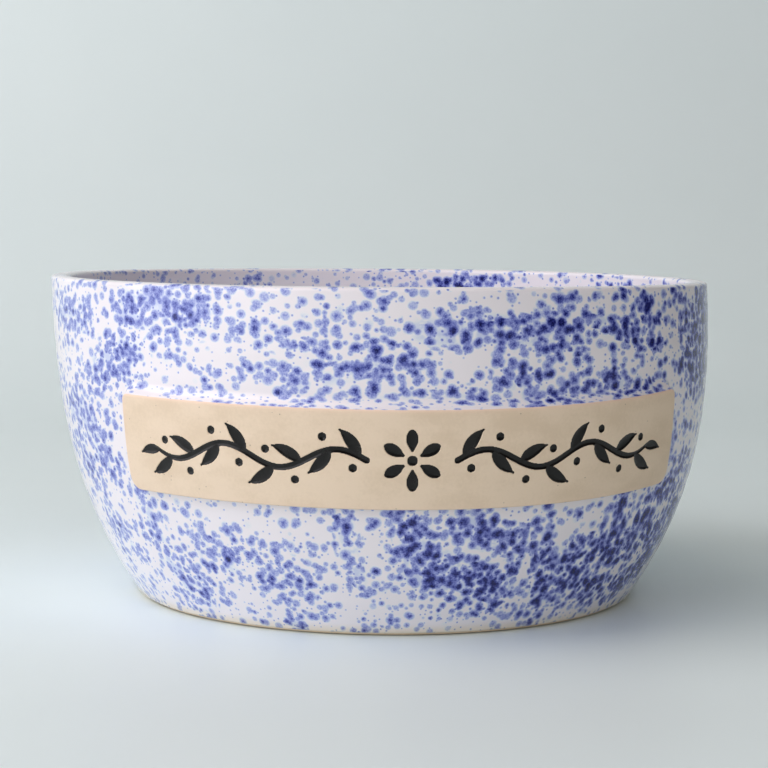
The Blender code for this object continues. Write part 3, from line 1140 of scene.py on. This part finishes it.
def dot_layer():
    """A node group: the blue of all dots of one size."""
    sizes = ("Radius", "Halo", "Core", "Share", "Offset")
    tree, given, out = new_group("layer_of_dots", ("Place",), ("Climb", "Flick", "Seam", "Spacing") + sizes)
    edge = plus(tree, times(tree, given["Seam"], 5 * MM), FLOOR_EDGE)
    floor = maths(tree, "LESS_THAN", given["Climb"], edge)
    here = add(tree, "ShaderNodeVectorRotate", {"Vector": given["Place"], "Angle": given["Seam"]},
               rotation_type="Z_AXIS").outputs[0]
    x, y, _ = add(tree, "ShaderNodeSeparateXYZ", {0: here}).outputs
    across = times(tree, maths(tree, "ARCTAN2", x, times(tree, y, -1.0)), PAPER_RADIUS)
    paper = add(tree, "ShaderNodeCombineXYZ", {0: across, 1: given["Climb"]}).outputs[0]
    flat = add(tree, "ShaderNodeCombineXYZ", {0: x, 1: y}).outputs[0]
    flat = add(tree, "ShaderNodeVectorMath", {0: flat}, operation="NORMALIZE").outputs[0]
    flat = add(tree, "ShaderNodeVectorMath", {0: flat, "Scale": given["Climb"]},
               operation="SCALE").outputs[0]
    spot = add(tree, "ShaderNodeMix", {0: floor, 4: paper, 5: flat}, data_type="VECTOR").outputs[1]
    shuffled = add(tree, "ShaderNodeCombineXYZ", {0: given["Seam"], 1: floor}).outputs[0]
    spot = add(tree, "ShaderNodeVectorMath", {0: spot, 1: shuffled}, operation="ADD").outputs[0]
    dots = []
    for feature in ("F1", "F2"):
        close = maths(tree, "DIVIDE", 1.0, given["Spacing"])
        scatter = {"Vector": spot, "Scale": close, "Randomness": DOT_DISORDER}
        found = add(tree, "ShaderNodeTexVoronoi", scatter, feature=feature, voronoi_dimensions="2D").outputs
        centre = add(tree, "ShaderNodeVectorMath", {0: found["Position"], 1: shuffled},
                     operation="SUBTRACT").outputs[0]
        dot = add(tree, "ShaderNodeGroup", {
            "Centre": centre, "Colour": found["Color"], "Floor": floor, "Edge": edge,
            "Distance": times(tree, found["Distance"], given["Spacing"]),
            "Seam": given["Seam"], "Flick": given["Flick"]}, node_tree=ONE_DOT)
        for socket in sizes:
            tree.links.new(given[socket], dot.inputs[socket])
        dots.append(dot.outputs)
    for socket in GIVES:
        tree.links.new(plus(tree, dots[0][socket], dots[1][socket]), out[socket])
    return tree


DOT_LAYER = dot_layer()
print("one layer of dots takes", len(DOT_LAYER.nodes), "nodes")

# %% [markdown]
# ## Adding up the dots
#
# Layers of dots are added up, from wide soft blots to specks. Their sum is how much blue glass lies
# over the white. The dots are laid on the bowl as it stood on the wheel, so the wall's lean is taken
# off the place first. Where much was flicked, a pale blue creeps between the dots, and a fine grain
# breaks all of it up.

# %% Add up the blue
HALO_LIMIT = 1.5                   # halos that overlap never get darker than this,
CORE_LIMIT = 3.3                   # and cores never darker than this, so that they stay blue
BLEED = 0.40                       # the pale blue that creeps between close dots
DOTS = (   # seam, spacing and radius in mm, halo, core, share of the flicked amount, offset
    (-0.9, 4.8, 2.50, 1.35, 3.8, 1.25, -0.04),
    (-0.5, 4.3, 2.25, 1.35, 3.5, 1.25, -0.02),
    (0.0, 3.9, 1.95, 1.35, 3.0, 1.10, 0.02),
    (0.4, 3.4, 1.55, 1.30, 2.4, 0.90, 0.05),
    (0.8, 2.8, 1.10, 1.20, 1.8, 0.55, 0.05),
    (1.2, 2.0, 0.60, 1.20, 1.0, 0.36, 0.27),
)

spattered_glaze, tree, shader = finish("spattered_glaze", 0.16)
place = own_space(tree)
height = add(tree, "ShaderNodeSeparateXYZ", {0: place}).outputs[2]
up = maths(tree, "DIVIDE", height, HEIGHT)
lean = times(tree, minus(tree, 1.0, times(tree, up, up)), WALL_LEAN)
lean = add(tree, "ShaderNodeCombineXYZ", {0: lean}).outputs[0]
upright = add(tree, "ShaderNodeVectorMath", {0: place, 1: lean}, operation="SUBTRACT").outputs[0]
flick_here = add(tree, "ShaderNodeAttribute", attribute_name="flick").outputs["Fac"]
climb_here = add(tree, "ShaderNodeAttribute", attribute_name="climb").outputs["Fac"]
halos, cores = 0.0, 0.0
for seam, spacing, radius, halo, core, share, offset in DOTS:
    layer = add(tree, "ShaderNodeGroup", {}, node_tree=DOT_LAYER)
    for socket, value in (("Place", upright), ("Climb", climb_here), ("Flick", flick_here)):
        tree.links.new(value, layer.inputs[socket])
    for socket, value in (("Seam", seam), ("Spacing", spacing * MM), ("Radius", radius * MM),
                          ("Halo", halo), ("Core", core), ("Share", share), ("Offset", offset)):
        layer.inputs[socket].default_value = value
    halos = plus(tree, layer.outputs["Halo"], halos)
    cores = plus(tree, layer.outputs["Core"], cores)
thinned = maths(tree, "EXPONENT", maths(tree, "DIVIDE", halos, -HALO_LIMIT))
halos = times(tree, minus(tree, 1.0, thinned), HALO_LIMIT)
cores = maths(tree, "MINIMUM", cores, CORE_LIMIT)
bleed = times(tree, eased(tree, flick_here, 0.3, 0.8), BLEED)
bleed = times(tree, bleed, eased(tree, grain(tree, place, 4 * MM, 2.0), 0.42, 0.62))
grains = eased(tree, grain(tree, place, 0.5 * MM, 2.0), 0.3, 0.7, 0.68, 1.32)
blue = plus(tree, times(tree, plus(tree, halos, cores), grains), bleed)
print(f"{len(DOTS)} layers of dots take", len(tree.nodes), "nodes")

# %% [markdown]
# ## White glaze with blue spatter
#
# Cobalt glass swallows red light fastest, green nearly as fast and blue least, and each more layer
# swallows the same share again: that is an exponential, one for each colour. Thin stain lets blue
# light through almost whole and only thick stain dims it, which the held-back part says. So one
# number turns a little stain into periwinkle and a lot of it into navy. Just above the foot the coat
# runs thin and the warm clay shines through it.

# %% Colour and polish the glaze
WHITE = (0.84, 0.798, 0.825)
SWALLOWED = ((1.0, 0.0), (0.94, 0.15), (0.52, 1.15))   # how fast red, green and blue go, and held back
FOOT_THINNING = 0.24               # how much thinner the coat is at its lower edge
TAKEN_BY_CLAY = (0.2, 0.45, 1.1)   # how much red, green and blue the clay under thin glaze takes

near_foot = eased(tree, height, 1 * MM, 4.5 * MM, 1.0, 0.0)
thin = times(tree, near_foot, FOOT_THINNING)
channels = add(tree, "ShaderNodeCombineColor")
for k, (white, (swallowed, held), taken) in enumerate(zip(WHITE, SWALLOWED, TAKEN_BY_CLAY)):
    thick = maths(tree, "SQRT", plus(tree, times(tree, blue, blue), held ** 2))
    thick = minus(tree, thick, held)
    passed = maths(tree, "EXPONENT", times(tree, thick, -swallowed))
    coat = minus(tree, white, times(tree, thin, taken * white))
    tree.links.new(times(tree, passed, coat), channels.inputs[k])
tree.links.new(channels.outputs[0], shader.inputs["Base Color"])

dented(tree, shader, grain(tree, place, 2.6 * MM, 2.0), 0.12 * MM, 0.25)
gloss = eased(tree, grain(tree, place, 9 * MM), 0.3, 0.7, 0.12, 0.20)
tree.links.new(gloss, shader.inputs["Roughness"])
glaze_coat.data.materials.append(spattered_glaze)
print("the whole glaze takes", len(tree.nodes), "nodes")

# %% [markdown]
# ## Bare clay
#
# The strip was waxed, so it stayed bare: cream stoneware, smooth but dull, with fine grog, a few
# pits where a grain was pulled out, and faint streaks from rolling. At the upper edge, where the
# glaze ends, the clay drew a breath of colour and turned peach. The foot is the same clay, rubbed.

# %% Make the bare clay
CLAY_DARK = (0.735, 0.585, 0.425, 1)
CLAY_PALE = (0.81, 0.655, 0.492, 1)
CLAY_PEACH = (0.87, 0.64, 0.50, 1)
PIT_BROWN = (0.22, 0.17, 0.12, 1)


def bare_clay_finish(name):
    """Cream stoneware with grog and pits, and peach where the piece's points say so."""
    material, tree, shader = finish(name, 0.72)
    place = own_space(tree)
    cloudy = grain(tree, place, 16 * MM, 4.0, (1, 1, 2))
    fine = grain(tree, place, 0.9 * MM, 4.0)
    tone = plus(tree, times(tree, cloudy, 0.7), times(tree, fine, 0.3))
    cream = blend(tree, eased(tree, tone, 0.35, 0.62), CLAY_DARK, CLAY_PALE)
    peach = add(tree, "ShaderNodeAttribute", attribute_name="peach").outputs["Fac"]
    warmed = blend(tree, peach, cream, CLAY_PEACH)
    grog = add(tree, "ShaderNodeTexVoronoi", {"Vector": place, "Scale": 1 / (2.1 * MM)})
    pick = add(tree, "ShaderNodeSeparateColor", {0: grog.outputs["Color"]}).outputs[0]
    pit = times(tree, eased(tree, grog.outputs["Distance"], 0.06, 0.12, 1.0, 0.0),
                eased(tree, pick, 0.80, 0.82))
    colour = blend(tree, times(tree, pit, 0.6), warmed, PIT_BROWN)
    tree.links.new(colour, shader.inputs["Base Color"])
    rolled = grain(tree, place, 1.2 * MM, 3.0, (0.3, 0.3, 1.6))
    bumpy = plus(tree, times(tree, fine, 0.6), times(tree, rolled, 0.4))
    dented(tree, shader, minus(tree, bumpy, times(tree, pit, 1.5)), 0.10 * MM, 0.5)
    tree.links.new(eased(tree, fine, 0.3, 0.7, 0.62, 0.80), shader.inputs["Roughness"])
    return material


strip_gap = edge_distance(grid_s, grid_v)[0]
top_share = smooth((grid_v / PANEL_HEIGHT - 0.5) / 0.4)
peach = np.exp(strip_gap / (0.7 * MM)) * (0.25 + 0.6 * top_share)
point_values(clay_strip, "peach", peach)
point_values(clay_body, "peach")
clay_strip.data.materials.append(bare_clay_finish("bare_clay_strip"))
clay_body.data.materials.append(bare_clay_finish("bare_clay_foot"))
print(f"the strip's edge is up to {peach.max():.0%} peach")

# %% [markdown]
# ## Black glaze
#
# The glaze in the marks is a thick glossy black, a breath paler in some places than in others. It
# never melts quite level, so a soft ripple breaks up what it mirrors, and it mirrors a little less
# than glass, which the lower specular level says.

# %% Make the black glaze
INK_DEEP = (0.0045, 0.004, 0.0038, 1)
INK_THIN = (0.010, 0.009, 0.0085, 1)
MIRRORING = 0.32     # 0.5 would be plain glass

black_glaze, tree, shader = finish("black_glaze", 0.14)
shader.inputs["Specular IOR Level"].default_value = MIRRORING
place = own_space(tree)
pooled = eased(tree, grain(tree, place, 5 * MM), 0.35, 0.65)
tree.links.new(blend(tree, pooled, INK_DEEP, INK_THIN), shader.inputs["Base Color"])
dented(tree, shader, grain(tree, place, 1.6 * MM, 2.0), 0.15 * MM, 0.5)
dull = eased(tree, grain(tree, place, 2 * MM), 0.3, 0.7, 0.10, 0.26)
tree.links.new(dull, shader.inputs["Roughness"])
black_inlay.data.materials.append(black_glaze)
print("the black glaze takes", len(tree.nodes), "nodes")

# %% [markdown]
# ## The table
#
# The bowl stands on a plain pale table that sweeps up behind it without an edge. Such a sweep is one
# sheet: a line that runs level, bends up in a quarter circle and goes on upright, drawn out to both
# sides. It is stage, not part of the bowl.

# %% Set the table
TABLE_SIZE = 1.6
SWEEP_START = 0.55
SWEEP_RADIUS = 0.5
PAINT_DARK = (0.785, 0.880, 0.880, 1)
PAINT_PALE = (0.815, 0.905, 0.905, 1)

bend = np.linspace(0.0, math.pi / 2, 25)
bend_y = SWEEP_START + SWEEP_RADIUS * np.sin(bend)
bend_z = SWEEP_RADIUS * (1 - np.cos(bend))
back_y = np.concatenate([[-TABLE_SIZE], bend_y, [SWEEP_START + SWEEP_RADIUS]])
back_z = np.concatenate([[0.0], bend_z, [TABLE_SIZE]])
sides = [np.stack([np.full_like(back_y, x), back_y, back_z], -1) for x in (-TABLE_SIZE, TABLE_SIZE)]
rows = np.arange(len(back_y) - 1)[:, None] * 2
table = bpy.data.meshes.new("table")
table.from_pydata(np.stack(sides, 1).reshape(-1, 3).tolist(), [], (rows + [0, 1, 3, 2]).tolist())
table.shade_smooth()
table_top = bpy.data.objects.new("table", table)
bpy.context.scene.collection.objects.link(table_top)

painted, tree, shader = finish("painted_table", 0.45)
place = own_space(tree)
paint = blend(tree, grain(tree, place, 90 * MM), PAINT_DARK, PAINT_PALE)
tree.links.new(paint, shader.inputs["Base Color"])
table.materials.append(painted)
print(f"the table is {2 * TABLE_SIZE:.1f} m wide")

# %% [markdown]
# ## The light
#
# The light is that of a room with a tall window on the left. The window is a big soft lamp with a
# hint of blue. High on the same side, a warmer lamp stands for the light that comes down off the
# ceiling. In front, a broad lamp stands for the rest of the room: it lights the clay, but glossy
# glaze would mirror it as a bright square where a real room is dim, so it is hidden from mirrors.
# A faint warm glow from everywhere keeps the right side readable.

# %% Hang the lamps
GLOW = (1.0, 0.90, 0.80, 1)
GLOW_STRENGTH = 0.06


def soft_lamp(name, side, height, distance, size, power, tint, mirrored=True):
    """A square lamp that faces the bowl: side and height in degrees, distance and size in metres."""
    lamp = bpy.data.lights.new(name, "AREA")
    lamp.size = size
    lamp.energy = power
    lamp.color = tint
    stand = bpy.data.objects.new(name, lamp)
    stand.visible_glossy = mirrored
    bpy.context.scene.collection.objects.link(stand)
    a, e = math.radians(side), math.radians(height)
    place = Vector((math.sin(a) * math.cos(e), -math.cos(a) * math.cos(e), math.sin(e))) * distance
    aim = Vector((0, 0, HEIGHT / 2)) - place
    stand.matrix_world = Matrix.Translation(place) @ aim.to_track_quat("-Z", "Y").to_matrix().to_4x4()


soft_lamp("window", -66, 24, 1.8, 2.2, 33.5, (0.95, 0.94, 1.0))
soft_lamp("room", 5, 30, 2.2, 2.0, 15.1, (1.0, 0.965, 0.965), mirrored=False)
soft_lamp("ceiling", -80, 62, 1.9, 1.5, 10.0, (1.0, 0.90, 0.84))
world = bpy.data.worlds.new("room")
world.use_nodes = True
glow = world.node_tree.nodes["Background"]
glow.inputs["Color"].default_value = GLOW
glow.inputs["Strength"].default_value = GLOW_STRENGTH
bpy.context.scene.world = world
bpy.context.scene.view_settings.view_transform = "Standard"
print("lamps:", ", ".join(lamp.name for lamp in bpy.data.lights))

# %% [markdown]
# ## Tie the pieces to the solids
#
# Each piece rides on the part's one body, and the solid that it stands for is hidden, since the piece
# now shows it.

# %% Ride and replace
for piece, solid, finish_slot in (
    (glaze_coat, "bowl", "spattered_glaze"),
    (clay_body, "bowl", "bare_clay"),
    (clay_strip, "panel", "bare_clay"),
    (black_inlay, "panel", "black_glaze"),
):
    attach(piece, "root")
    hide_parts(solid)
